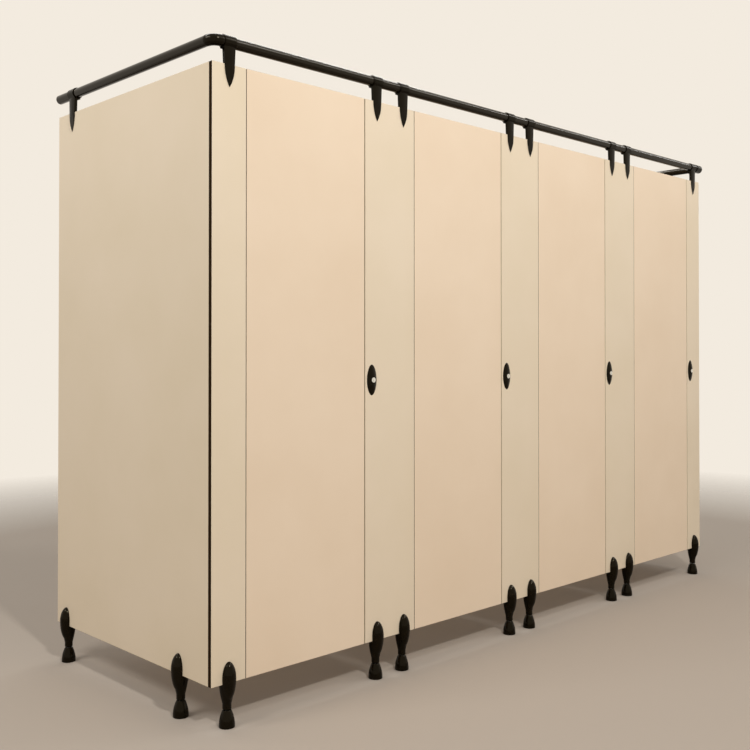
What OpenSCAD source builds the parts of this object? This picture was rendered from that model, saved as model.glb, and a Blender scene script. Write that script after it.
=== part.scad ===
// A row of four toilet cubicles: compact laminate boards on black nylon feet, braced by a round head rail.
// The front faces -Y, every door hangs on its left edge and opens inwards, and the origin lies on the
// floor under the middle of the row's box. All sizes are in millimetres.

/* [Row] */
// Height of every board
board_h = 2000; // [1600:10:2200]
// Height of the boards' lower edges above the floor
floor_gap = 141; // [130:1:200]
// Clear width of each doorway
doorway_w = 540; // [480:5:700]
// Width of a pilaster between two doorways
mid_pilaster_w = 260; // [230:5:400]
// Width of the first and the last pilaster
end_pilaster_w = 135; // [130:1:250]
// Depth of the row from its front face to the rear edges of the partitions
row_depth = 1060; // [700:10:1600]

/* [Boards and doors] */
// Thickness of every board
board_t = 18; // [16:0.5:22]
// Bevel along the edges of the boards
board_bevel = 1; // [0.3:0.1:1.5]
// Gap beside a door on its hinged side
hinge_gap = 2; // [1.5:0.5:5]
// Gap beside a door on its locking side
closing_gap = 5; // [4:0.5:8]
// Width of the rebate that a door closes into
rebate_w = 12; // [9:0.5:18]
// Thickness of the pilaster's lip in front of that rebate
lip_t = 8; // [5:0.5:9]
// Thickness of the buffer strip on the lip
buffer_t = 1.5; // [1:0.1:2]
// Clearance between a closed door and its buffer strip
stop_clearance = 0.5; // [0.3:0.1:1]

/* [Head rail] */
// Outer diameter of the rail's tubes
rail_d = 36; // [28:0.5:40]
// Wall of the rail's tubes
rail_wall = 1.6; // [1:0.1:3]
// Height of the rail's axis above the boards
rail_rise = 74; // [50:1:100]
// Radius of the corner elbow, on the tube's axis
elbow_r = 30; // [28:1:48]
// Step of the elbow's face over the tubes' faces
elbow_step = 1; // [0:0.5:3]
// Length of a plug that goes into a tube
plug_l = 24; // [12:1:35]
// Reach of the side rails past the partitions' rear edges
rail_overrun = 8; // [0:1:60]
// Wall of the clips and of the tee around a tube
sleeve_wall = 3.5; // [2.5:0.1:5]
// Length of each arm of the tee
tee_arm = 24; // [22:1:32]
// Reach of the front rail past the middle of the last partition
rail_end_reach = 23; // [22:1:40]
// Thickness of the front rail's end cap
cap_t = 3.5; // [2:0.1:6]

/* [Rail clips] */
// Width of a clip's sleeve around the rail
sleeve_l = 45; // [40:1:56]
// Width of a clip's blade at the board's top
blade_w = 39; // [32:1:46]
// Length of a clip's pointed blade below the board's top
blade_l = 74; // [60:1:110]
// Length of the blade's straight part, above its pointed arch
blade_straight = 2; // [1:1:20]
// Thickness of the blade at its crown
blade_t = 5; // [4:0.5:8]
// Fall of the blade's crown towards its sides
blade_crown = 1.8; // [0.5:0.1:2.5]
// Thickness of the neck that joins the blade to the sleeve
clip_neck_t = 14; // [11:0.5:18]
// Reach of the heel that props the sleeve behind the neck
clip_heel = 12; // [6:1:16]
// Height of that heel below the rail
clip_heel_h = 9; // [5:1:14]
// Distance of the side clips from the partitions' rear edges
side_clip_inset = 113; // [60:1:200]

/* [Feet] */
// Distance of a foot or clip from the middle of a wide pilaster
fitting_offset = 70; // [55:1:85]
// Diameter of a foot's base at the floor
base_d = 53; // [42:1:60]
// Height of a foot's base
base_h = 55; // [35:1:60]
// Height of the upright rim at the base's bottom
base_rim = 4; // [2:0.5:8]
// Gap between a foot's base and its clamp, for levelling
levelling_gap = 3; // [1:0.5:8]
// Diameter of the clamp's neck
neck_d = 30; // [22:0.5:32]
// Diameter of the clamp's bowl under the board
bowl_d = 51; // [44:1:56]
// Height of the clamp's bowl, from its neck to the board
bowl_h = 66; // [40:1:70]
// Radius of the clamp's outer cheek
cheek_r = 25; // [19:0.5:28]
// Height of the outer cheek above the board's lower edge
cheek_h = 70; // [56:1:110]
// Height of the cheek's widest level above the board's lower edge
cheek_mid = 18; // [5:1:30]
// Depth of the outer cheek below the board's lower edge
cheek_drop = 56; // [30:1:62]
// Radius of the clamp's inner cheek
inner_cheek_r = 18; // [16:0.5:22]
// Height of the inner cheek above the board's lower edge
inner_cheek_h = 44; // [42:1:70]
// Thread diameter of a foot's levelling stud
stud_d = 10; // [8:1:12]
// Depth of the stud in the base and in the clamp
stud_grip = 28; // [15:1:32]
// Distance of the rear feet from the partitions' rear edges
rear_foot_inset = 77; // [40:1:150]
// Distance of the left partition's front foot from the row's front face
side_foot_inset = 188; // [120:1:400]

/* [Brackets and screws] */
// Length of a corner bracket's arms
bracket_arm = 34; // [30:1:45]
// Thickness of a corner bracket
bracket_t = 4; // [3:0.5:6]
// Height of a corner bracket
bracket_h = 52; // [44:1:80]
// Thickness of a corner bracket's rib
bracket_rib = 3; // [2:0.5:6]
// Diameter of the screws
screw_d = 4; // [3:0.5:5]
// Diameter of the screws' heads
screw_head_d = 8; // [7:0.5:9]
// Height of the screws' heads
screw_head_h = 2.2; // [1.5:0.1:3]
// Depth of a screw in a board or in an outer fitting
screw_grip = 11; // [7:0.5:13]

/* [Hinges] */
// Height of the lowest and of the highest hinge from the nearer end of a door
hinge_inset = 200; // [120:5:350]
// Height of a hinge
hinge_h = 72; // [60:1:110]
// Width of a hinge leaf from the pin's axis
hinge_leaf_w = 44; // [36:1:60]
// Thickness of a hinge leaf
hinge_leaf_t = 3; // [2:0.1:5]
// Diameter of a hinge knuckle
knuckle_d = 12; // [10:0.5:14]
// Diameter of a hinge pin
hinge_pin_d = 6; // [4:0.5:7]
// Running clearance around pins and spindles, on the radius
running_fit = 0.05; // [0.03:0.01:0.1]
// Axial gap between the knuckles
knuckle_gap = 0.3; // [0.2:0.05:0.5]

/* [Locks] */
// Height of the locks' centres above the boards' lower edges
lock_rise = 964; // [700:1:1300]
// Distance of a lock's centre from its pilaster's edge
lock_inset = 33; // [31:1:50]
// Height of the oval lock plates
lock_plate_h = 114; // [100:1:140]
// Width of the outer lock plate
lock_plate_w = 50; // [42:1:56]
// Thickness of the outer plate's dome
outer_dome_t = 10; // [7:0.5:13]
// Thickness of the inner plate's dome
inner_dome_t = 8; // [6:0.5:11]
// Diameter of the slotted disc in the outer plate
disc_d = 18.5; // [15:0.5:25]
// Depth of the disc's seat in the outer plate
disc_seat = 2; // [1:0.5:3]
// Height of the disc above its seat
disc_t = 3; // [2:0.5:5]
// Width of the coin slot in the disc
coin_slot_w = 2.4; // [1.2:0.1:3.5]
// Depth of the coin slot
coin_slot_depth = 1.4; // [0.8:0.1:1.8]
// Diameter of the lock's spindle
spindle_d = 8; // [6:0.5:10]
// Length of the latch bar from the spindle's axis to its tip
latch_l = 76; // [70:1:90]
// Width of the latch bar
latch_w = 16; // [12:1:22]
// Thickness of the latch bar
latch_t = 6; // [4:0.5:9]
// Diameter of the latch's hub
latch_hub_d = 26; // [20:1:34]
// Height of the thumb turn on the latch's hub
thumb_h = 15; // [10:1:22]
// Width of the thumb turn
thumb_w = 9; // [7:0.5:14]
// Length of the strike on a door
strike_l = 34; // [24:1:40]
// Height of the strike
strike_h = 44; // [30:1:60]
// Clearance between the latch bar and what it turns over
latch_clearance = 0.6; // [0.4:0.1:1]

/* [Hidden] */

laminate = "#E2CFAB";
nylon = "#17181A";
coated_tube = "#1C1C1E";
steel = "#B9BCC0";
nickel = "#D8D8D4";
grey_rubber = "#A9AA9C";

doors = 4;
pilasters = doors + 1;
seat_fit = 0.1;      // clearance of parts that are pressed or screwed together
cut = 1;             // how far a cutting tool runs past the surface it opens
edge = 1;            // bevel on the rims of moulded pieces
head_edge = 3;       // plate left beside a screw's head
head_floor = 3;      // plate left under a sunk screw's head
head_sink = 1;       // depth of a sunk head below the face around it
knuckle_clear = 1;   // gap between a hinge's knuckles and the boards
fine = 96;           // sides of large rounds
small = 32;          // sides of screws, pins and bores

// ---- Places along the row ----
row_w = doors * doorway_w + (doors - 1) * mid_pilaster_w + 2 * end_pilaster_w;
left_x = -row_w / 2;
front_reach = max(cheek_r, base_d / 2 - board_t / 2, rail_d / 2 + sleeve_wall + seat_fit - board_t / 2,
                  outer_dome_t - disc_seat + disc_t);
rear_reach = row_depth + rail_overrun;
front_y = (front_reach - rear_reach) / 2;
mid_y = front_y + board_t / 2;
inner_y = front_y + board_t;
rear_y = front_y + row_depth;
top_z = floor_gap + board_h;
rail_z = top_z + rail_rise;
lock_z = floor_gap + lock_rise;

function pilaster_w(k) = k == 1 || k == pilasters ? end_pilaster_w : mid_pilaster_w;
function pilaster_x(k) = k == 1 ? left_x : doorway_x(k - 1) + doorway_w;
function doorway_x(k) = left_x + end_pilaster_w + (k - 1) * (doorway_w + mid_pilaster_w);
function pilaster_mid(k) = pilaster_x(k) + pilaster_w(k) / 2;
function partition_mid(k) =
    k == 1 ? left_x + board_t / 2 :
    k == pilasters ? -left_x - board_t / 2 : pilaster_mid(k);
function fitting_xs(k) = k == 1 || k == pilasters
    ? [pilaster_mid(k)]
    : [pilaster_mid(k) - fitting_offset, pilaster_mid(k) + fitting_offset];
function lock_x(k) = doorway_x(k) + doorway_w + lock_inset;
function hinge_x(k) = doorway_x(k) + hinge_gap / 2;
hinge_y = inner_y + knuckle_d / 2 + knuckle_clear;
hinge_zs = [
    floor_gap + hinge_inset, floor_gap + board_h / 2 - hinge_h / 2, top_z - hinge_inset - hinge_h
];
bracket_zs = [for (z = hinge_zs) z + hinge_h / 2 - bracket_h / 2];

module at_pilaster_fittings(k, z) {
    for (x = fitting_xs(k)) translate([x, mid_y, z]) children();
}

// The middle of a partition's thickness, with the partition's outer side turned to -Y
module on_partition(k, y, z) {
    translate([partition_mid(k), y, z]) rotate(k == pilasters ? 90 : -90) children();
}

module at_side_clips() {
    for (k = [1, pilasters]) on_partition(k, rear_y - side_clip_inset, top_z) children();
}

module at_partition_feet(k) {
    on_partition(k, rear_y - rear_foot_inset, floor_gap) children();
    if (k == 1) on_partition(k, front_y + side_foot_inset, floor_gap) children();
}

// The inner corner between a pilaster and its partition
module at_brackets(k) {
    side = k == pilasters ? -1 : 1;
    for (z = bracket_zs)
        translate([partition_mid(k) + side * board_t / 2, inner_y, z])
            mirror([side < 0 ? 1 : 0, 0, 0]) children();
}

module at_hinges(k) {
    for (z = hinge_zs) translate([hinge_x(k), hinge_y, z]) children();
}

module at_lock(k) {
    translate([lock_x(k), mid_y, lock_z]) children();
}

// ---- Boards ----
function unit(v) = v / norm(v);
function turn(a, b) = a[0] * b[1] - a[1] * b[0];

// The outline with each outward corner cut off, for points that run anticlockwise
function bevelled(points, size) = let (n = len(points)) [
    for (i = [0 : n - 1])
        let (p = points[i], back = points[(i + n - 1) % n] - p, ahead = points[(i + 1) % n] - p)
        each turn(ahead, back) > 0 ? [p + size * unit(back), p + size * unit(ahead)] : [p]
];
function rectangle(w, h) = [[0, 0], [w, 0], [w, h], [0, h]];
function centred(w, h) = [for (p = rectangle(w, h)) p - [w / 2, h / 2]];

// An upright board with a plan outline that starts at its corner and every long edge bevelled
module board(outline) {
    w = max([for (p = outline) p[0]]);
    t = max([for (p = outline) p[1]]);
    intersection() {
        linear_extrude(board_h) polygon(bevelled(outline, board_bevel));
        translate([0, t, 0]) rotate([90, 0, 0]) linear_extrude(t)
            polygon(bevelled(rectangle(w, board_h), board_bevel));
        rotate([90, 0, 90]) linear_extrude(w)
            polygon(bevelled(rectangle(t, board_h), board_bevel));
    }
}

module partition(k) {
    color(laminate) difference() {
        translate([partition_mid(k) - board_t / 2, inner_y, floor_gap])
            board(rectangle(board_t, row_depth - board_t));
        at_partition_feet(k) foot_screw_bores();
        at_brackets(k) bracket_screw_bores(1);
        if (k == 1 || k == pilasters) at_side_clips() clip_screw_bores();
    }
}

module pilaster(k) {
    w = pilaster_w(k);
    rebated = [[0, 0], [w, 0], [w, board_t], [rebate_w, board_t], [rebate_w, lip_t], [0, lip_t]];
    color(laminate) difference() {
        translate([pilaster_x(k), front_y, floor_gap])
            board(k == 1 ? rectangle(w, board_t) : rebated);
        at_pilaster_fittings(k, top_z) clip_screw_bores();
        at_pilaster_fittings(k, floor_gap) foot_screw_bores();
        at_brackets(k) bracket_screw_bores(0);
        if (k < pilasters) at_hinges(k) mirror([1, 0, 0]) leaf_screw_bores();
        if (k > 1) at_lock(k - 1) lock_bores();
    }
}

tongue_y = lip_t + buffer_t + stop_clearance;
door_w = doorway_w - hinge_gap - closing_gap;

module door(k) {
    w = door_w;
    end = w + rebate_w;
    outline = [[0, 0], [w, 0], [w, tongue_y], [end, tongue_y], [end, board_t], [0, board_t]];
    color(laminate) difference() {
        translate([doorway_x(k) + hinge_gap, front_y, floor_gap]) board(outline);
        at_hinges(k) leaf_screw_bores();
        at_strike(k) strike_screw_bores();
    }
}

// An L that covers the edge and the back of a pilaster's lip
module buffer_strips() {
    reach = rebate_w - closing_gap + buffer_t;
    angle = [
        [-buffer_t, board_bevel], [0, board_bevel], [0, lip_t], [reach, lip_t],
        [reach, lip_t + buffer_t], [-buffer_t, lip_t + buffer_t]
    ];
    color(grey_rubber)
        for (k = [2 : pilasters])
            translate([pilaster_x(k), front_y, floor_gap + board_bevel])
                linear_extrude(board_h - 2 * board_bevel) polygon(angle);
}

// ---- Head rail ----
rail_r = rail_d / 2;
bore_r = rail_r - rail_wall;
plug_r = bore_r - seat_fit;
sleeve_bore_r = rail_r + seat_fit;
sleeve_r = sleeve_bore_r + sleeve_wall;
rail_left_x = partition_mid(1);
rail_right_x = partition_mid(pilasters);
rail_end_x = rail_right_x + rail_end_reach;
elbow_face_r = rail_r + elbow_step;
bend_r = min(elbow_r, fitting_xs(1)[0] - sleeve_l / 2 - rail_left_x); // ends before the first clip's sleeve

// A round bar or tool along +X
module along_x(r, l) {
    rotate([0, 90, 0]) cylinder(r = r, h = l, $fn = fine);
}

module along_y(r, l) {
    rotate([-90, 0, 0]) cylinder(r = r, h = l, $fn = fine);
}

module tube_x(l) {
    difference() {
        along_x(rail_r, l);
        translate([-cut, 0, 0]) along_x(bore_r, l + 2 * cut);
    }
}

module tube_y(l) {
    difference() {
        along_y(rail_r, l);
        translate([0, -cut, 0]) along_y(bore_r, l + 2 * cut);
    }
}

module headrail_front() {
    start = rail_left_x + bend_r;
    color(coated_tube) translate([start, mid_y, rail_z]) tube_x(rail_end_x - start);
}

module headrail_left() {
    start = mid_y + bend_r;
    color(coated_tube) translate([rail_left_x, start, rail_z]) tube_y(rear_y + rail_overrun - start);
}

module headrail_right() {
    start = mid_y + rail_r + 3 * seat_fit;
    color(coated_tube) translate([rail_right_x, start, rail_z]) tube_y(rear_y + rail_overrun - start);
}

// A quarter bend that is a little thicker than the tubes, with a plug at each end
module headrail_elbow() {
    color(nylon) translate([rail_left_x + bend_r, mid_y + bend_r, rail_z]) {
        rotate(180) rotate_extrude(angle = 90, $fn = fine) translate([bend_r, 0])
            circle(elbow_face_r, $fn = fine);
        translate([-bend_r, 0, 0]) along_y(plug_r, plug_l);
        translate([0, -bend_r, 0]) along_x(plug_r, plug_l);
    }
}

// A sleeve over the front rail's end with a socket for the right side rail
module headrail_tee() {
    branch_l = rail_r + tee_arm;
    run_l = tee_arm + rail_end_reach;
    color(nylon) translate([rail_right_x, mid_y, rail_z]) difference() {
        union() {
            translate([-tee_arm, 0, 0]) along_x(sleeve_r, run_l);
            along_y(sleeve_r, branch_l);
        }
        translate([-tee_arm - cut, 0, 0]) along_x(sleeve_bore_r, run_l + 2 * cut);
        along_y(sleeve_bore_r, branch_l + cut);
    }
}

module headrail_end_cap() {
    color(nylon) translate([rail_end_x, mid_y, rail_z]) {
        translate([-plug_l, 0, 0]) along_x(plug_r, plug_l);
        rotate([0, 90, 0]) rotate_extrude($fn = fine) polygon([
            [0, 0], [sleeve_r, 0], [sleeve_r, cap_t / 2],
            for (a = [15 : 15 : 90]) [sleeve_r - cap_t * (1 - cos(a)), cap_t / 2 * (1 + sin(a))],
            [0, cap_t]
        ]);
    }
}

// ---- Rail clips ----
// Local places: the board's mid plane is y = 0, its top is z = 0 and its outer side is -Y
board_face = board_t / 2;
clip_front = board_face + blade_t;
neck_back = clip_neck_t - clip_front;
rail_bottom = rail_rise - rail_r;
clip_screw_zs = [-14, -32];
clip_screw_l = board_t + blade_t / 2;

// Two arcs that meet in a point below a straight part
module pointed_arch(w, straight, l) {
    half = w / 2;
    rise = l - straight;
    arc = (half * half + rise * rise) / w;
    translate([-half, -straight]) square([w, straight]);
    translate([0, -straight]) intersection() {
        translate([half - arc, 0]) circle(arc, $fn = 2 * fine);
        translate([arc - half, 0]) circle(arc, $fn = 2 * fine);
        translate([-half, -rise]) square([w, rise]);
    }
}

// The front view: a leaf that widens from its point up to the sleeve
module clip_front_view() {
    pointed_arch(blade_w, blade_straight, blade_l);
    polygon([
        [-blade_w / 2, 0], [blade_w / 2, 0], [sleeve_l / 2, rail_bottom], [sleeve_l / 2, rail_rise],
        [-sleeve_l / 2, rail_rise], [-sleeve_l / 2, rail_bottom]
    ]);
}

// The side view: a blade that thins towards its point, a neck on the board's top and a heel behind it
module clip_side_view() {
    heel_bottom = rail_bottom - clip_heel_h;
    heel_back = neck_back + clip_heel;
    blade_back = -board_face - seat_fit;
    polygon([
        [-clip_front, rail_rise], [-clip_front, -blade_straight], [-board_face - blade_t / 2, -blade_l],
        [blade_back, -blade_l], [blade_back, 0], [neck_back, 0], [neck_back, heel_bottom],
        [heel_back, heel_bottom + clip_heel_h / 2], [heel_back, rail_rise]
    ]);
}

module clip_body() {
    crown_r = (blade_w * blade_w / 4 + blade_crown * blade_crown) / (2 * blade_crown);
    depth = clip_front + neck_back + clip_heel;
    intersection() {
        translate([0, depth - clip_front, 0]) rotate([90, 0, 0]) linear_extrude(depth) clip_front_view();
        rotate([90, 0, 90]) translate([0, 0, -sleeve_l / 2]) linear_extrude(sleeve_l) clip_side_view();
        translate([0, crown_r - clip_front, -blade_l])
            cylinder(r = crown_r, h = blade_l + rail_rise, $fn = 2 * fine);
    }
}

module rail_clip() {
    difference() {
        union() {
            clip_body();
            translate([-sleeve_l / 2, 0, rail_rise]) along_x(sleeve_r, sleeve_l);
        }
        translate([-sleeve_l / 2 - cut, 0, rail_rise]) along_x(sleeve_bore_r, sleeve_l + 2 * cut);
        clip_screw_bores();
    }
}

module clip_screws_of_one() {
    for (z = clip_screw_zs) translate([0, board_face, z]) screw(clip_screw_l);
}

module clip_screw_bores() {
    for (z = clip_screw_zs) translate([0, board_face, z]) screw_bore(clip_screw_l);
}

module rail_clips(k) {
    color(nylon) at_pilaster_fittings(k, top_z) rail_clip();
}

module side_rail_clips() {
    color(nylon) at_side_clips() rail_clip();
}

// ---- Feet ----
// Local places: the board's mid plane is y = 0, its lower edge is z = 0 and its outer side is -Y
neck_r = neck_d / 2;
bowl_r = bowl_d / 2;
clamp_bottom = base_h + levelling_gap - floor_gap;
bowl_rim = 3;
base_curve = 2;
inner_cheek_mid = 8;
foot_screw_seat = board_face + head_floor + screw_head_h;
foot_screw_zs = [14, 30];
foot_screw_l = foot_screw_seat + board_face + screw_grip;
rounding_steps = 12;

// Half of an egg's section: a radius, a middle and the reach above and below it
function egg(r, mid, top, bottom) = [
    for (i = [-rounding_steps : rounding_steps])
        let (a = 90 * i / rounding_steps, reach = i < 0 ? mid - bottom : top - mid)
        [r * cos(a), mid + reach * sin(a)]
];

// A goblet whose rim stands a little above the board's lower edge
module foot_bowl() {
    steps = rounding_steps;
    rotate_extrude($fn = fine) polygon([
        [0, clamp_bottom], [neck_r - edge, clamp_bottom], [neck_r, clamp_bottom + edge],
        for (i = [0 : steps]) let (drop = 1 - i / steps)
            [neck_r + (bowl_r - neck_r) * cos(90 * drop), -bowl_h * drop],
        [bowl_r, bowl_rim - edge], [bowl_r - edge, bowl_rim], [0, bowl_rim]
    ]);
}

module foot_cheek(r, mid, top, bottom) {
    intersection() {
        translate([0, -board_face, 0]) rotate_extrude($fn = fine) polygon(egg(r, mid, top, bottom));
        translate([-2 * r, -2 * r - board_face, bottom]) cube([4 * r, 2 * r + board_face, top - bottom]);
    }
}

module foot_clamp() {
    slot = board_t + 2 * seat_fit;
    reach = max(bowl_r, cheek_r) + cut;
    difference() {
        union() {
            foot_bowl();
            foot_cheek(cheek_r, cheek_mid, cheek_h, -cheek_drop);
            mirror([0, 1, 0])
                foot_cheek(inner_cheek_r, inner_cheek_mid, inner_cheek_h, -cheek_drop / 2);
        }
        translate([-reach, -slot / 2, 0]) cube([2 * reach, slot, cheek_h + cut]);
        translate([0, 0, clamp_bottom - cut])
            cylinder(d = stud_d + 2 * seat_fit, h = stud_grip + cut + seat_fit, $fn = small);
        foot_screw_bores();
    }
}

module foot_screws_of_one() {
    for (z = foot_screw_zs) translate([0, foot_screw_seat, z]) screw(foot_screw_l);
}

module foot_screw_bores() {
    for (z = foot_screw_zs) translate([0, foot_screw_seat, z]) screw_bore(foot_screw_l);
}

module at_all_feet() {
    for (k = [1 : pilasters]) {
        at_pilaster_fittings(k, floor_gap) children();
        at_partition_feet(k) children();
    }
}

module pilaster_foot_clamps() {
    color(nylon) for (k = [1 : pilasters]) at_pilaster_fittings(k, floor_gap) foot_clamp();
}

module partition_foot_clamps() {
    color(nylon) for (k = [1 : pilasters]) at_partition_feet(k) foot_clamp();
}

// A bell that flares to the floor, with the stud's bore from its top
module foot_base() {
    base_r = base_d / 2;
    steps = rounding_steps;
    difference() {
        rotate_extrude($fn = fine) polygon([
            [0, 0], [base_r - edge, 0], [base_r, edge],
            for (i = [0 : steps]) [
                base_r - (base_r - neck_r) * pow(i / steps, base_curve),
                base_rim + (base_h - edge - base_rim) * i / steps
            ],
            [neck_r - edge, base_h], [0, base_h]
        ]);
        translate([0, 0, base_h - stud_grip - seat_fit])
            cylinder(d = stud_d + 2 * seat_fit, h = stud_grip + seat_fit + cut, $fn = small);
    }
}

module foot_bases() {
    color(nylon) at_all_feet() translate([0, 0, -floor_gap]) foot_base();
}

module foot_studs() {
    l = 2 * stud_grip + levelling_gap;
    color(steel) at_all_feet() translate([0, 0, base_h - stud_grip - floor_gap])
        cylinder(d = stud_d, h = l, $fn = small);
}

// ---- Screws ----
// A screw drives along -Y from the seat of its head, and its bore opens towards +Y
driver_way = inner_cheek_r + cut;
head_top_d = 0.6 * screw_head_d;

module screw(l) {
    rotate([90, 0, 0]) cylinder(d = screw_d, h = l, $fn = small);
    rotate([-90, 0, 0]) cylinder(d1 = screw_head_d, d2 = head_top_d, h = screw_head_h, $fn = small);
}

module screw_bore(l) {
    rotate([90, 0, 0]) cylinder(d = screw_d + 2 * seat_fit, h = l + seat_fit, $fn = small);
    rotate([-90, 0, 0]) cylinder(d = screw_head_d + 2 * seat_fit, h = driver_way, $fn = small);
}

// ---- Corner brackets ----
// Local places: the inner corner is the origin and the arms run along +X and +Y
bracket_screw_x = bracket_arm - screw_head_d / 2 - head_edge;
bracket_screw_zs = [bracket_h / 4, 3 * bracket_h / 4];
bracket_screw_l = bracket_t + screw_grip;

// Screws through the arm on the pilaster, or through the arm on the partition
module at_bracket_screws(arm) {
    for (z = bracket_screw_zs) {
        if (arm == 0) translate([bracket_screw_x, bracket_t, z]) children();
        if (arm == 1) translate([bracket_t, bracket_screw_x, z]) rotate(-90) children();
    }
}

module bracket_screw_bores(arm) {
    at_bracket_screws(arm) screw_bore(bracket_screw_l);
}

module corner_bracket() {
    rib_l = bracket_arm - bracket_t;
    corner = bevelled([[0, 0], [bracket_arm, 0], [bracket_arm, bracket_t],
                       [bracket_t, bracket_t], [bracket_t, bracket_arm], [0, bracket_arm]], edge);
    difference() {
        union() {
            linear_extrude(bracket_h) polygon(corner);
            translate([0, 0, bracket_h / 2 - bracket_rib / 2]) linear_extrude(bracket_rib)
                polygon([[0, 0], [rib_l, 0], [rib_l, bracket_t], [bracket_t, rib_l], [0, rib_l]]);
        }
        bracket_screw_bores(0);
        bracket_screw_bores(1);
    }
}

module corner_brackets() {
    color(nylon) for (k = [1 : pilasters]) at_brackets(k) corner_bracket();
}

// ---- Hinges ----
// Local places: the pin's axis is x = y = 0, and a leaf lies on the boards' inner face towards +X
knuckle_r = knuckle_d / 2;
leaf_back = -(hinge_y - inner_y);
knuckle_l = hinge_h / 3;
leaf_screw_x = hinge_leaf_w - screw_head_d / 2 - head_edge;
leaf_screw_zs = [hinge_h / 6, hinge_h / 2, 5 * hinge_h / 6];

module at_leaf_screws() {
    for (z = leaf_screw_zs)
        translate([leaf_screw_x, leaf_back + hinge_leaf_t, z]) children();
}

module leaf_screw_bores() {
    at_leaf_screws() screw_bore(hinge_leaf_t + screw_grip);
}

// A leaf with knuckles in the given thirds of the hinge's height
module hinge_leaf(thirds) {
    clear = knuckle_r + 2 * knuckle_gap;
    corner_r = 4;
    difference() {
        union() {
            translate([clear, leaf_back, 0]) cube([hinge_leaf_w - clear - corner_r, hinge_leaf_t, hinge_h]);
            translate([hinge_leaf_w - corner_r, leaf_back, corner_r])
                cube([corner_r, hinge_leaf_t, hinge_h - 2 * corner_r]);
            for (z = [corner_r, hinge_h - corner_r])
                translate([hinge_leaf_w - corner_r, leaf_back, z]) along_y(corner_r, hinge_leaf_t);
            for (i = thirds) translate([0, 0, i * knuckle_l + (i > 0 ? knuckle_gap / 2 : 0)]) {
                h = knuckle_l - (i == 1 ? 1 : 0.5) * knuckle_gap;
                cylinder(r = knuckle_r, h = h, $fn = fine);
                translate([0, leaf_back, 0]) cube([clear + cut, hinge_leaf_t, h]);
            }
        }
        translate([0, 0, -cut])
            cylinder(r = hinge_pin_d / 2 + running_fit, h = hinge_h + 2 * cut, $fn = small);
        leaf_screw_bores();
    }
}

module hinge_fixed_leaves() {
    color(nylon) for (k = [1 : doors]) at_hinges(k) mirror([1, 0, 0]) hinge_leaf([0, 2]);
}

module door_hinge_leaves(k) {
    color(nylon) at_hinges(k) hinge_leaf([1]);
}

module hinge_pins() {
    head_r = hinge_pin_d / 2 + 1.5;
    head_h = 2;
    color(steel) for (k = [1 : doors]) at_hinges(k) {
        cylinder(d = hinge_pin_d, h = hinge_h, $fn = small);
        translate([0, 0, -head_h]) cylinder(r = head_r, h = head_h, $fn = small);
        translate([0, 0, hinge_h]) cylinder(r1 = head_r, r2 = head_r - edge, h = head_h, $fn = small);
    }
}

// ---- Locks ----
// Local places: the pilaster's mid plane is y = 0 and the spindle turns about the Y axis
latch_back = board_face + inner_dome_t + latch_clearance;
lock_screw_inset = 17;
lock_screw_z = lock_plate_h / 2 - lock_screw_inset;
lock_screw_l = board_t + 2 * head_floor;
inner_plate_w = min(lock_plate_w, 2 * (lock_inset - rebate_w));

// An oval dome on a flat back at y = 0 that bulges towards -Y, turned from one arc about an upright axis
module oval_dome(width, thickness) {
    half_w = width / 2;
    half_h = lock_plate_h / 2;
    turn_r = (half_w * half_w + thickness * thickness) / (2 * thickness);
    arc = (half_h * half_h + thickness * thickness) / (2 * thickness);
    steps = 2 * rounding_steps;
    intersection() {
        translate([0, turn_r - thickness, 0]) rotate_extrude($fn = 2 * fine) polygon([
            [0, -half_h],
            for (i = [0 : steps]) let (z = half_h * (2 * i / steps - 1))
                [turn_r - arc + sqrt(arc * arc - z * z), z],
            [0, half_h]
        ]);
        translate([-half_w - cut, -thickness - cut, -half_h - cut])
            cube([width + 2 * cut, thickness + cut, lock_plate_h + 2 * cut]);
    }
}

module spindle_bore(r) {
    translate([0, -board_t - outer_dome_t, 0]) along_y(r, 2 * (board_t + outer_dome_t));
}

module at_lock_screws() {
    for (z = [-lock_screw_z, lock_screw_z]) translate([0, board_face + head_floor, z]) children();
}

module lock_bores() {
    spindle_bore(spindle_d / 2 + edge);
    at_lock_screws() screw_bore(lock_screw_l);
}

module lock_outer_plates() {
    color(nylon) for (k = [1 : doors]) at_lock(k) difference() {
        translate([0, -board_face, 0]) oval_dome(lock_plate_w, outer_dome_t);
        spindle_bore(spindle_d / 2 + running_fit);
        translate([0, -board_face - outer_dome_t - cut, 0])
            along_y(disc_d / 2 + running_fit, disc_seat + cut);
        at_lock_screws() screw_bore(lock_screw_l);
    }
}

module lock_inner_plates() {
    color(nylon) for (k = [1 : doors]) at_lock(k) difference() {
        translate([0, board_face, 0]) mirror([0, 1, 0]) oval_dome(inner_plate_w, inner_dome_t);
        spindle_bore(spindle_d / 2 + running_fit);
        at_lock_screws() screw_bore(lock_screw_l);
    }
}

// The slotted disc and its spindle, which ends inside the latch's hub
module lock_spindle(k) {
    seat_y = -board_face - outer_dome_t + disc_seat;
    disc_y = seat_y - disc_t;
    slot_l = 0.7 * disc_d;
    color(nickel) at_lock(k) difference() {
        union() {
            translate([0, disc_y, 0]) along_y(disc_d / 2, disc_t - 2 * running_fit);
            translate([0, disc_y, 0]) along_y(spindle_d / 2, latch_back + latch_t - disc_y);
        }
        translate([-coin_slot_w / 2, disc_y - cut, -slot_l / 2])
            cube([coin_slot_w, coin_slot_depth + cut, slot_l]);
    }
}

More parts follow.
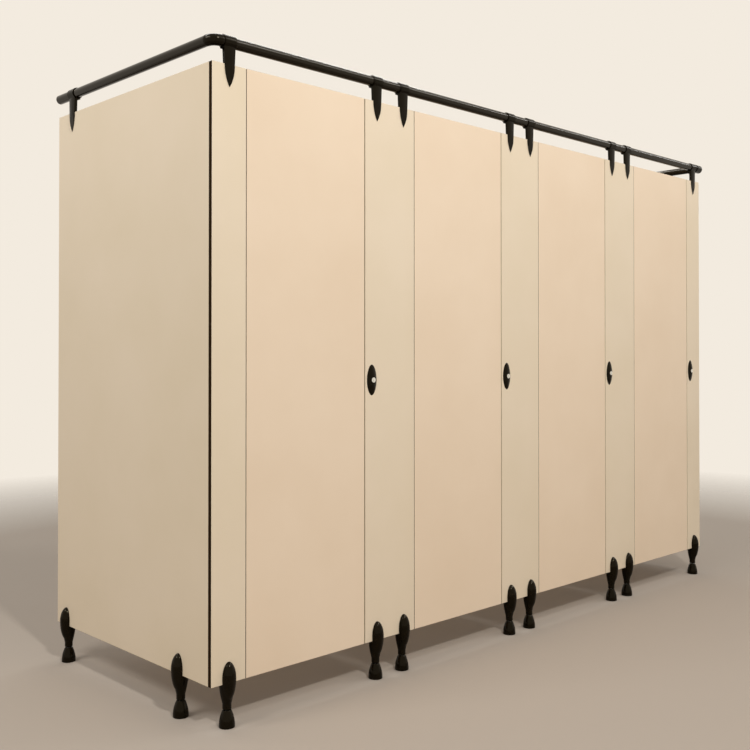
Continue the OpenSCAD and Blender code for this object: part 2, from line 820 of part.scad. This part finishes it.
// A bar that hangs when the lock is open, with a thumb turn across its hub
module lock_latch(k) {
    tip_r = latch_w / 2;
    color(nylon) at_lock(k) difference() {
        translate([0, latch_back, 0]) {
            along_y(latch_hub_d / 2, latch_t);
            translate([0, 0, tip_r - latch_l]) along_y(tip_r, latch_t);
            translate([-tip_r, 0, tip_r - latch_l]) cube([latch_w, latch_t, latch_l - tip_r]);
            translate([0, latch_t, 0]) rotate([-90, 0, 0]) linear_extrude(thumb_h)
                polygon(bevelled(centred(thumb_w, latch_hub_d - 3 * edge), thumb_w / 4));
        }
        translate([0, latch_back - cut, 0]) along_y(spindle_d / 2 + seat_fit, latch_t + cut);
    }
}

// ---- Strikes ----
strike_t = inner_dome_t;
strike_ramp = 6;
strike_screw_inset = 9;
strike_seat = strike_t - screw_head_h - head_sink;

// The lower left corner of a strike on a door's inner face
module at_strike(k) {
    translate([doorway_x(k) + doorway_w - closing_gap - strike_l, inner_y, lock_z - strike_h / 2]) children();
}

module at_strike_screws() {
    for (z = [strike_screw_inset, strike_h - strike_screw_inset])
        translate([strike_l / 2, strike_seat, z]) children();
}

module strike_screw_bores() {
    at_strike_screws() screw_bore(strike_seat + screw_grip);
}

// A pad with ramps at its top and bottom, which the latch bar slides up
module door_strike(k) {
    color(nylon) at_strike(k) difference() {
        rotate([90, 0, 90]) linear_extrude(strike_l) polygon([
            [0, 0], [strike_t / 3, 0], [strike_t, strike_ramp], [strike_t, strike_h - strike_ramp],
            [strike_t / 3, strike_h], [0, strike_h]
        ]);
        strike_screw_bores();
    }
}

// ---- Fasteners ----
module clip_screws() {
    color(steel) {
        for (k = [1 : pilasters]) at_pilaster_fittings(k, top_z) clip_screws_of_one();
        at_side_clips() clip_screws_of_one();
    }
}

module foot_screws() {
    color(steel) at_all_feet() foot_screws_of_one();
}

module board_screws() {
    color(steel) {
        for (k = [1 : pilasters], arm = [0, 1]) at_brackets(k) at_bracket_screws(arm) screw(bracket_screw_l);
        for (k = [1 : doors]) {
            at_hinges(k) mirror([1, 0, 0]) at_leaf_screws() screw(hinge_leaf_t + screw_grip);
            at_lock(k) at_lock_screws() screw(lock_screw_l);
        }
    }
}

module door_screws(k) {
    color(steel) {
        at_hinges(k) at_leaf_screws() screw(hinge_leaf_t + screw_grip);
        at_strike(k) at_strike_screws() screw(strike_seat + screw_grip);
    }
}

partition(1);  // left_end_panel
partition(2);  // divider_1
partition(3);  // divider_2
partition(4);  // divider_3
partition(5);  // right_end_panel
pilaster(1);  // pilaster_1
pilaster(2);  // pilaster_2
pilaster(3);  // pilaster_3
pilaster(4);  // pilaster_4
pilaster(5);  // pilaster_5
headrail_front();
headrail_left();
headrail_right();
headrail_elbow();
headrail_tee();
headrail_end_cap();
rail_clips(1);  // rail_clips_1
rail_clips(2);  // rail_clips_2
rail_clips(3);  // rail_clips_3
rail_clips(4);  // rail_clips_4
rail_clips(5);  // rail_clips_5
side_rail_clips();
pilaster_foot_clamps();
partition_foot_clamps();
foot_bases();
foot_studs();
corner_brackets();
buffer_strips();
clip_screws();
foot_screws();
board_screws();
hinge_fixed_leaves();
hinge_pins();
lock_outer_plates();
lock_inner_plates();
door(1);  // door_1
door(2);  // door_2
door(3);  // door_3
door(4);  // door_4
door_hinge_leaves(1);  // door_hinge_leaves_1
door_hinge_leaves(2);  // door_hinge_leaves_2
door_hinge_leaves(3);  // door_hinge_leaves_3
door_hinge_leaves(4);  // door_hinge_leaves_4
door_strike(1);  // door_strike_1
door_strike(2);  // door_strike_2
door_strike(3);  // door_strike_3
door_strike(4);  // door_strike_4
door_screws(1);  // door_screws_1
door_screws(2);  // door_screws_2
door_screws(3);  // door_screws_3
door_screws(4);  // door_screws_4
lock_spindle(1);  // lock_spindle_1
lock_spindle(2);  // lock_spindle_2
lock_spindle(3);  // lock_spindle_3
lock_spindle(4);  // lock_spindle_4
lock_latch(1);  // lock_latch_1
lock_latch(2);  // lock_latch_2
lock_latch(3);  // lock_latch_3
lock_latch(4);  // lock_latch_4
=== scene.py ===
import math

import bpy
import numpy as np
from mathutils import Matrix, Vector


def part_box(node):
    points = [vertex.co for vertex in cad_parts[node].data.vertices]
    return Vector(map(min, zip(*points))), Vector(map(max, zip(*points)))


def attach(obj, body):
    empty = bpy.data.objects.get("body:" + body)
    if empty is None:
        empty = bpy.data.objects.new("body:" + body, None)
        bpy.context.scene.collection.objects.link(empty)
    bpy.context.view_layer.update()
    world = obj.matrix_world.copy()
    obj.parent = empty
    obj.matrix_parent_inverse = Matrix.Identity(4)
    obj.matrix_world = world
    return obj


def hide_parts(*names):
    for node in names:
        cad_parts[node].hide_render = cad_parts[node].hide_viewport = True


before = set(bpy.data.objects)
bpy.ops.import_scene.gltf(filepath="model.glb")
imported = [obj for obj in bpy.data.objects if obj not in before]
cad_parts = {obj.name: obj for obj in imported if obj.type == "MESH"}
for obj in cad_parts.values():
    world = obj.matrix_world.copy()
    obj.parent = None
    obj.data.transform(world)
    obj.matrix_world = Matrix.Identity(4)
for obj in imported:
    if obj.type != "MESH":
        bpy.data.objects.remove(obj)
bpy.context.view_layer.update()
print("frame loaded:", len(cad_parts), "pieces")


# Small tools for shaders

def paint(red, green, blue):
    # a colour as it looks on screen, 0 to 255, turned into the shader's own values
    return tuple((c / 12.92 if c < 0.04045 else ((c + 0.055) / 1.055) ** 2.4)
                 for c in (red / 255, green / 255, blue / 255)) + (1,)


def newFinish(name):
    finish = bpy.data.materials.new(name)
    finish.use_nodes = True
    tree = finish.node_tree
    return finish, tree, tree.nodes["Principled BSDF"]


def addNode(tree, kind, sockets=None, **settings):
    node = tree.nodes.new("ShaderNode" + kind)
    for name, value in settings.items():
        setattr(node, name, value)
    for name, value in (sockets or {}).items():
        if isinstance(value, bpy.types.NodeSocket):
            tree.links.new(value, node.inputs[name])
        else:
            node.inputs[name].default_value = value
    return node


def sums(tree, operation, a, b=None):
    # one step of arithmetic, where a and b are sockets or plain numbers
    node = addNode(tree, "Math", operation=operation)
    for socket, value in zip(node.inputs, (a, b)):
        if isinstance(value, bpy.types.NodeSocket):
            tree.links.new(value, socket)
        elif value is not None:
            socket.default_value = value
    return node.outputs[0]


def mixColours(tree, share, first, second):
    node = addNode(tree, "Mix", data_type="RGBA")
    # the colour mixer's inputs are 0, 6 and 7, and its colour comes out at 2
    for index, value in ((0, share), (6, first), (7, second)):
        if isinstance(value, bpy.types.NodeSocket):
            tree.links.new(value, node.inputs[index])
        else:
            node.inputs[index].default_value = value
    return node.outputs[2]


def place(tree, stretch=(1, 1, 1)):
    # where a point lies on the piece at rest, in metres, so the pattern moves with the piece
    atRest = addNode(tree, "TexCoord").outputs["Object"]
    return addNode(tree, "Mapping", {"Vector": atRest, "Scale": stretch}).outputs[0]


def noise(tree, size, detail=2, stretch=(1, 1, 1)):
    # size is the width of one blotch in metres
    sockets = {"Vector": place(tree, stretch), "Scale": 1 / size, "Detail": detail}
    return addNode(tree, "TexNoise", sockets).outputs[0]


def spread(tree, value, low, high, start=0.3, end=0.7):
    # start to end is the range that a noise really fills
    return addNode(tree, "MapRange", {"Value": value, "From Min": start, "From Max": end,
                                      "To Min": low, "To Max": high}).outputs[0]


def bump(tree, height, depth, normal=None):
    node = addNode(tree, "Bump", {"Height": height, "Distance": depth})
    if normal is not None:
        tree.links.new(normal, node.inputs["Normal"])
    return node.outputs[0]


def mottle(tree, shader, look, sheenDetail=3):
    # two tones in soft patches, and a sheen that changes in finer ones
    patches = spread(tree, noise(tree, look["patchSize"], detail=3), 0, 1)
    tree.links.new(mixColours(tree, patches, look["tone"], look["toneDeep"]), shader.inputs["Base Color"])
    sheen = noise(tree, look["sheenPatchSize"], sheenDetail)
    tree.links.new(spread(tree, sheen, *look["roughness"]), shader.inputs["Roughness"])


# The boards: a cream decor layer on both faces of a black core

laminate = {
    "cream": {"door": paint(233, 211, 184), "other": paint(228, 210, 184)},
    "creamDeep": {"door": paint(229, 206, 178), "other": paint(224, 206, 178)},
    "core": paint(42, 25, 4),
    "coreDeep": paint(28, 16, 3),
    "decorLayer": 0.0008,
    "cloudSize": 0.35,
    "glossPatchSize": 0.35 / 3,
    "suedeSize": 0.0011,
    "suedeDepth": 0.00006,
    "gloss": (0.40, 0.50),
    "shine": 0.06,
    "coreRoughness": 0.8,
    "fibreSize": 0.0018,
    "sawMarkSize": 0.0006,
    "sawMarkDepth": 0.00005,
    "sawMarkStretch": (0.05, 0.05, 1),
}


def laminateFinish(name, batch, axis, low, high):
    # axis is the board's thickness: 0 for X, 1 for Y
    finish, tree, shader = newFinish(name)
    split = addNode(tree, "SeparateXYZ", {"Vector": place(tree)})
    # the decor lies at most one layer deep under the two faces, and the core is all the rest
    fromMiddle = sums(tree, "ABSOLUTE", sums(tree, "SUBTRACT", split.outputs[axis], (low + high) / 2))
    onFace = sums(tree, "GREATER_THAN", fromMiddle, (high - low) / 2 - laminate["decorLayer"])
    onEdge = sums(tree, "SUBTRACT", 1.0, onFace)

    clouds = spread(tree, noise(tree, laminate["cloudSize"], detail=4), 0, 1)
    decor = mixColours(tree, clouds, laminate["cream"][batch], laminate["creamDeep"][batch])
    fibres = spread(tree, noise(tree, laminate["fibreSize"], detail=3), 0, 1)
    core = mixColours(tree, fibres, laminate["core"], laminate["coreDeep"])
    tree.links.new(mixColours(tree, onFace, core, decor), shader.inputs["Base Color"])

    decorGloss = spread(tree, noise(tree, laminate["glossPatchSize"], detail=3), *laminate["gloss"])
    rough = sums(tree, "ADD", sums(tree, "MULTIPLY", onFace, decorGloss),
                 sums(tree, "MULTIPLY", onEdge, laminate["coreRoughness"]))
    tree.links.new(rough, shader.inputs["Roughness"])

    suede = bump(tree, noise(tree, laminate["suedeSize"], detail=3), laminate["suedeDepth"])
    sawMarks = noise(tree, laminate["sawMarkSize"], stretch=laminate["sawMarkStretch"])
    marked = bump(tree, sums(tree, "MULTIPLY", sawMarks, onEdge), laminate["sawMarkDepth"], normal=suede)
    tree.links.new(marked, shader.inputs["Normal"])
    shader.inputs["Specular IOR Level"].default_value = laminate["shine"]
    return finish


# The fittings

nylon = {
    "tone": paint(16, 11, 5),
    "toneDeep": paint(10, 7, 3),
    "roughness": (0.08, 0.13),
    "shine": 0.13,
    "glint": (1.0, 0.86, 0.62, 1.0),
    "grainSize": 0.0005,
    "grainDepth": 0.000012,
    "patchSize": 0.03,
    "sheenPatchSize": 0.005,
    "edgeRound": 0.0007,
}


def nylonFinish():
    finish, tree, shader = newFinish("blackNylon")
    mottle(tree, shader, nylon, sheenDetail=4)
    edges = addNode(tree, "Bevel", {"Radius": nylon["edgeRound"]}, samples=6).outputs[0]
    grain = bump(tree, noise(tree, nylon["grainSize"]), nylon["grainDepth"], normal=edges)
    tree.links.new(grain, shader.inputs["Normal"])
    shader.inputs["Specular IOR Level"].default_value = nylon["shine"]
    shader.inputs["Specular Tint"].default_value = nylon["glint"]
    return finish


rail = {
    "tone": paint(20, 14, 6),
    "toneDeep": paint(14, 9, 3),
    "roughness": (0.08, 0.12),
    "shine": 0.26,
    "glint": (1.0, 0.90, 0.74, 1.0),
    "peelSize": 0.0022,
    "peelDepth": 0.00003,
    "patchSize": 0.08,
    "sheenPatchSize": 0.01,
}


def railFinish():
    finish, tree, shader = newFinish("coatedRail")
    mottle(tree, shader, rail)
    peel = bump(tree, noise(tree, rail["peelSize"]), rail["peelDepth"])
    tree.links.new(peel, shader.inputs["Normal"])
    shader.inputs["Specular IOR Level"].default_value = rail["shine"]
    shader.inputs["Specular Tint"].default_value = rail["glint"]
    return finish


zinc = {
    "tone": paint(205, 206, 208),
    "toneDeep": paint(176, 178, 178),
    "roughness": (0.22, 0.42),
    "patchSize": 0.003,
    "sheenPatchSize": 0.00075,
}


def zincFinish():
    finish, tree, shader = newFinish("zincSteel")
    mottle(tree, shader, zinc)
    shader.inputs["Metallic"].default_value = 1
    return finish


nickel = {
    "bright": paint(246, 244, 238),
    "dull": paint(228, 226, 218),
    "roughness": (0.24, 0.36),
    # dark colour painted into the hollows, standing in for shade there as well as grime
    "grimeAndShade": paint(48, 43, 34),
    "grimeAndShadeReach": 0.0024,
    "grimeAndShadeRange": (0.35, 0.85),
    "brushSize": 0.0003,
    "brushStretch": (0.03, 0.03, 1),
    "brushDepth": 0.00001,
}


def nickelFinish():
    finish, tree, shader = newFinish("satinNickel")
    lines = noise(tree, nickel["brushSize"], stretch=nickel["brushStretch"])
    metal = mixColours(tree, spread(tree, lines, 0, 1), nickel["bright"], nickel["dull"])
    # painted shade with some grime: an occlusion mask darkens the coin slot and where the disc meets its
    # plate
    openness = addNode(tree, "AmbientOcclusion", {"Distance": nickel["grimeAndShadeReach"]}, samples=8).outputs["AO"]
    clearOfShadeAndGrime = spread(tree, openness, 0, 1, *nickel["grimeAndShadeRange"])
    tree.links.new(mixColours(tree, clearOfShadeAndGrime, nickel["grimeAndShade"], metal), shader.inputs["Base Color"])
    tree.links.new(spread(tree, lines, *nickel["roughness"]), shader.inputs["Roughness"])
    tree.links.new(bump(tree, lines, nickel["brushDepth"]), shader.inputs["Normal"])
    shader.inputs["Metallic"].default_value = 1
    return finish


rubber = {
    "tone": paint(222, 204, 170),
    "toneDeep": paint(210, 191, 157),
    "roughness": (0.62, 0.75),
    "grainSize": 0.0008,
    "grainDepth": 0.00003,
    "patchSize": 0.05,
    "sheenPatchSize": 0.01,
}


def rubberFinish():
    finish, tree, shader = newFinish("bufferRubber")
    mottle(tree, shader, rubber)
    grain = bump(tree, noise(tree, rubber["grainSize"]), rubber["grainDepth"])
    tree.links.new(grain, shader.inputs["Normal"])
    return finish


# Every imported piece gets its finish

finishes = {
    "nylon": nylonFinish(),
    "rail": railFinish(),
    "zinc": zincFinish(),
    "nickel": nickelFinish(),
    "rubber": rubberFinish(),
}
boardPlanes = {}  # boards of one batch in one plane share a finish


def boardFinish(nodeName):
    low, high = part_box(nodeName)
    size = high - low
    axis = 0 if size.x < size.y else 1
    batch = "door" if nodeName.startswith("door") else "other"
    plane = (batch, axis, round(low[axis], 5))
    if plane not in boardPlanes:
        name = "laminate%d" % (len(boardPlanes) + 1)
        boardPlanes[plane] = laminateFinish(name, batch, axis, low[axis], high[axis])
    return boardPlanes[plane]


def finishOf(nodeName):
    if nodeName.startswith("door_") and nodeName[5:].isdigit():
        return boardFinish(nodeName)
    if nodeName.startswith(("pilaster_", "divider_")) and nodeName.split("_")[1].isdigit():
        return boardFinish(nodeName)
    if nodeName.endswith("end_panel"):
        return boardFinish(nodeName)
    if nodeName in ("headrail_front", "headrail_left", "headrail_right"):
        return finishes["rail"]
    if nodeName.startswith("lock_spindle"):
        return finishes["nickel"]
    if nodeName == "buffer_strips":
        return finishes["rubber"]
    if "screws" in nodeName or nodeName in ("foot_studs", "hinge_pins"):
        return finishes["zinc"]
    return finishes["nylon"]


for nodeName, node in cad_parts.items():
    node.data.materials.clear()
    node.data.materials.append(finishOf(nodeName))
print("finishes set:", len(bpy.data.materials))


# Screws and studs with their threads, set where the plain ones lie

fasteners = {
    "screwPitch": 0.0020,
    "screwThreadDepth": 0.0006,
    "screwNeck": 0.0003,
    "screwTip": 0.0025,
    "headHeight": 0.0022,
    "headProfile": ((1.0, 0.0), (1.0, 0.45), (0.90, 0.80), (0.68, 1.0)),  # shares of radius and height
    "recessArm": 0.0021,
    "recessDepth": 0.0013,
    "recessTaper": 0.55,
    "studPitch": 0.0015,
    "studSides": 20,
    "studThreadDepth": 0.0009,
    "studChamfer": 0.001,
    "weldSteps": 1e6,  # corners closer than a millionth of a metre are one
}


def spot(radius, turn, height):
    # turn is the share of a full turn
    return radius * math.cos(math.tau * turn), radius * math.sin(math.tau * turn), height


def ring(radius, height, sides):
    return [spot(radius, i / sides, height) for i in range(sides)]


def addThread(points, faces, collar, radius, depth, pitch, sides, top, bottom, tip):
    # crests and roots wind down from the collar's ring, rise over the first turn and close on the tip
    first = len(points)
    steps = int((top - bottom - pitch / 2) / pitch * sides)
    for rise, drop in ((depth, 0), (0, pitch / 2)):
        for i in range(steps + 1):
            reach = radius - depth + rise * min(1, i / sides)
            points.append(spot(reach, i / sides, top - drop - pitch * i / sides))
    roots = first + steps + 1
    for i in range(sides):
        faces.append((collar + i, first + i, first + i + 1, collar + (i + 1) % sides))
    faces.append((collar, first + sides, roots, first))
    for i in range(steps):
        faces.append((first + i, roots + i, roots + i + 1, first + i + 1))
        if i + sides < steps:
            faces.append((roots + i, first + i + sides, first + i + sides + 1, roots + i + 1))
    lastTurn = [roots + i for i in range(steps - sides, steps + 1)] + [first + steps]
    points.append(tip)
    for i, corner in enumerate(lastTurn):
        faces.append((corner, len(points) - 1, lastTurn[(i + 1) % len(lastTurn)]))


def screwShape(length, headRadius, shankRadius):
    # the head's seat is at z = 0, its cross recess opens upwards and the shank points down
    arm, height = fasteners["recessArm"], fasteners["headHeight"]
    half = arm * math.tan(math.pi / 12)
    quarter = [(arm, half), (half, half), (half, arm)]
    turns = ((1, 0), (0, 1), (-1, 0), (0, -1))
    cross = [(x * c - y * s, x * s + y * c) for c, s in turns for x, y in quarter]
    corners = len(cross)
    sides = 2 * corners  # two sides of the head for each corner of the cross

    points, faces = [], []
    profile = fasteners["headProfile"]
    for radius, z in profile:
        points += ring(headRadius * radius, height * z, sides)
    for level in range(len(profile) - 1):
        for i in range(sides):
            a, b = level * sides + i, level * sides + (i + 1) % sides
            faces.append((a, b, b + sides, a + sides))

    top, rim = len(points) - sides, len(points)
    taper, floor = fasteners["recessTaper"], height - fasteners["recessDepth"]
    points += [(x, y, height) for x, y in cross]
    points += [(taper * x, taper * y, floor) for x, y in cross]
    for i in range(corners):
        arc = [top + (step + 2 * i) % sides for step in (1, 2, 3)]
        after = rim + (i + 1) % corners
        faces.append((*arc, after, rim + i))
        faces.append((rim + i, after, after + corners, rim + i + corners))
    faces.append(tuple(range(rim + corners, rim + 2 * corners)))

    neck, depth = len(points), fasteners["screwThreadDepth"]
    points += ring(shankRadius - depth, 0.0, corners)
    for i in range(corners):
        faces.append((2 * i, neck + i, neck + (i + 1) % corners, (2 * i + 2) % sides, 2 * i + 1))
    addThread(points, faces, neck, shankRadius, depth, fasteners["screwPitch"], corners,
              -fasteners["screwNeck"], fasteners["screwTip"] - length, (0, 0, -length))
    return points, faces


def studShape(length, radius):
    # stands on z = 0
    sides, inset, depth = fasteners["studSides"], fasteners["studChamfer"], fasteners["studThreadDepth"]
    points = ring(radius - depth, length, sides) + [(0, 0, length)]
    faces = [(i, (i + 1) % sides, sides) for i in range(sides)]
    addThread(points, faces, 0, radius, depth, fasteners["studPitch"], sides,
              length - inset, inset, (0, 0, 0))
    return points, faces


def looseParts(nodeName):
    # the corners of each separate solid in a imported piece
    mesh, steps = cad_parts[nodeName].data, fasteners["weldSteps"]
    spots = np.empty(len(mesh.vertices) * 3)
    mesh.vertices.foreach_get("co", spots)
    whole = np.round(spots.reshape(-1, 3) * steps).astype(int)
    joined, owner = np.unique(whole, axis=0, return_inverse=True)
    owner = owner.ravel()
    leader = list(range(len(joined)))

    def lead(i):
        while leader[i] != i:
            leader[i] = leader[leader[i]]
            i = leader[i]
        return i

    for edge in mesh.edges:
        leader[lead(owner[edge.vertices[0]])] = lead(owner[edge.vertices[1]])
    parts = {}
    for i in range(len(joined)):
        parts.setdefault(lead(i), []).append(joined[i] / steps)
    return [np.array(part) for part in parts.values()]


def addFasteners(name, nodeName, body):
    points, faces = [], []
    for part in looseParts(nodeName):
        low, high = part.min(axis=0), part.max(axis=0)
        axis = int(np.argmax(high - low))  # each one is longest along its own axis
        middle, length = (low + high) / 2, (high - low)[axis]
        around = np.delete(part - middle, axis, axis=1)
        reach, along = np.hypot(around[:, 0], around[:, 1]), part[:, axis] - middle[axis]
        if nodeName == "foot_studs":
            shape, corners = studShape(length, reach.max())
            origin, outward = low[axis], 1
        else:
            outward = 1 if reach[along > 0].max() > reach[along < 0].max() else -1  # where the head is
            shankRadius = reach[along * outward < 0].max()
            height = fasteners["headHeight"]
            shape, corners = screwShape(length - height, reach.max(), shankRadius)
            origin = (high if outward > 0 else low)[axis] - outward * height
        middle[axis] = origin
        turned = Vector((0, 0, 1)).rotation_difference(Vector(np.eye(3)[axis] * outward)).to_matrix()
        first = len(points)
        points += [turned @ Vector(corner) + Vector(middle) for corner in shape]
        faces += [tuple(first + i for i in corner) for corner in corners]
    mesh = bpy.data.meshes.new(name)
    mesh.from_pydata(points, [], faces)
    mesh.materials.append(finishes["zinc"])
    piece = bpy.data.objects.new(name, mesh)
    bpy.context.scene.collection.objects.link(piece)
    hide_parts(nodeName)
    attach(piece, body)


for kind in ("clip", "foot", "board"):
    addFasteners(kind + "Screws", kind + "_screws", "frame")
addFasteners("footStuds", "foot_studs", "frame")
for k in range(1, 5):
    addFasteners("doorScrews%d" % k, "door_screws_%d" % k, "door_leaf_%d" % k)
print("screws and studs set")


# Floor, light and camera

stage = {
    "floor": paint(165, 153, 140),
    "backdrop": paint(243, 235, 223),
    "floorRoughness": 0.85,
    "floorShine": 0.2,
    "floorRadius": 8.0,
    "floorSides": 96,
    "fadeStart": 3.2,
    "fadeEnd": 6.0,
    "ambient": 0.34,  # what the air adds to the lamps
}


def addFloor():
    # fades out to the backdrop all round
    sides, radius = stage["floorSides"], stage["floorRadius"]
    bpy.ops.mesh.primitive_circle_add(vertices=sides, radius=radius, fill_type="NGON")
    floor = bpy.context.object
    floor.name = "studioFloor"
    finish, tree, shader = newFinish("studioFloor")
    shader.inputs["Base Color"].default_value = stage["floor"]
    shader.inputs["Roughness"].default_value = stage["floorRoughness"]
    shader.inputs["Specular IOR Level"].default_value = stage["floorShine"]
    away = addNode(tree, "VectorMath", {0: addNode(tree, "TexCoord").outputs["Object"]}, operation="LENGTH")
    fade = spread(tree, away.outputs["Value"], 0, 1, stage["fadeStart"], stage["fadeEnd"])
    clear = addNode(tree, "BsdfTransparent")
    blend = addNode(tree, "MixShader")
    tree.links.new(fade, blend.inputs[0])
    tree.links.new(shader.outputs[0], blend.inputs[1])
    tree.links.new(clear.outputs[0], blend.inputs[2])
    tree.links.new(blend.outputs[0], tree.nodes["Material Output"].inputs["Surface"])
    floor.data.materials.append(finish)


def addWorld():
    world = bpy.data.worlds.new("studioAir")
    bpy.context.scene.world = world
    world.use_nodes = True
    tree = world.node_tree
    rays = addNode(tree, "LightPath")
    seen = sums(tree, "MAXIMUM", rays.outputs["Is Camera Ray"],
                sums(tree, "MAXIMUM", rays.outputs["Is Glossy Ray"], rays.outputs["Is Transmission Ray"]))
    light = tree.nodes["Background"]
    light.inputs["Color"].default_value = (1, 1, 1, 1)
    light.inputs["Strength"].default_value = stage["ambient"]
    # seen directly or mirrored, the world is the backdrop, and it lights the row with the ambient share alone
    backdrop = addNode(tree, "Background", {"Color": stage["backdrop"], "Strength": 1.0})
    either = addNode(tree, "MixShader")
    tree.links.new(seen, either.inputs[0])
    tree.links.new(light.outputs[0], either.inputs[1])
    tree.links.new(backdrop.outputs[0], either.inputs[2])
    tree.links.new(either.outputs[0], tree.nodes["World Output"].inputs["Surface"])


lamps = {
    "frontSoftbox": {
        "place": (-0.2, -4.2, 5.2), "aim": (0.1, -0.5, 1.8), "size": (4.8, 1.6), "watts": 62,
    },
    "leftSoftbox": {
        "place": (-5.4, 0.2, 5.0), "aim": (-1.6, 0.3, 1.8), "size": (2.6, 1.6), "watts": 146,
    },
    "topSoftbox": {
        "place": (0.0, 1.6, 5.2), "aim": (0.0, 0.0, 2.0), "size": (6.0, 0.3), "watts": 85,
    },
    "keyLamp": {
        "place": (-2.4, -4.6, 5.0), "aim": (-0.4, -0.5, 1.4), "size": (0.35, 0.35), "watts": 170,
    },
    "rightStrip": {  # draws the bright line along the front rail
        "place": (5.0, -2.9, 5.2), "aim": (5.0, -0.5, 2.2), "size": (8.0, 0.25), "watts": 135,
    },
}


def addLamps():
    for name, lamp in lamps.items():
        data = bpy.data.lights.new(name, "AREA")
        data.shape = "RECTANGLE"
        data.size, data.size_y = lamp["size"]
        data.energy = lamp["watts"]
        light = bpy.data.objects.new(name, data)
        bpy.context.scene.collection.objects.link(light)
        light.location = lamp["place"]
        ray = Vector(lamp["aim"]) - Vector(lamp["place"])
        light.rotation_euler = ray.to_track_quat("-Z", "Y").to_euler()


photoView = {
    "across": -3.3627,
    "beforeFront": 2.5607,
    "aboveBoardFoot": 1.0705,
    "turn": -44.107,
    "tilt": 0.565,
    "lens": 46.17,
    "sensor": 36,
    "shiftUp": -0.0445,
    "farthest": 100,
}


def addCamera():
    data = bpy.data.cameras.new("photoView")
    data.lens = photoView["lens"]
    data.sensor_width = photoView["sensor"]
    data.shift_y = photoView["shiftUp"]
    data.clip_end = photoView["farthest"]
    camera = bpy.data.objects.new("photoView", data)
    bpy.context.scene.collection.objects.link(camera)
    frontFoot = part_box("pilaster_1")[0]
    camera.location = (photoView["across"], frontFoot.y - photoView["beforeFront"],
                       frontFoot.z + photoView["aboveBoardFoot"])
    camera.rotation_euler = (math.radians(90 + photoView["tilt"]), 0, math.radians(photoView["turn"]))
    bpy.context.scene.camera = camera


addFloor()
addWorld()
addLamps()
addCamera()
bpy.context.scene.view_settings.view_transform = "Standard"
print("stage set")
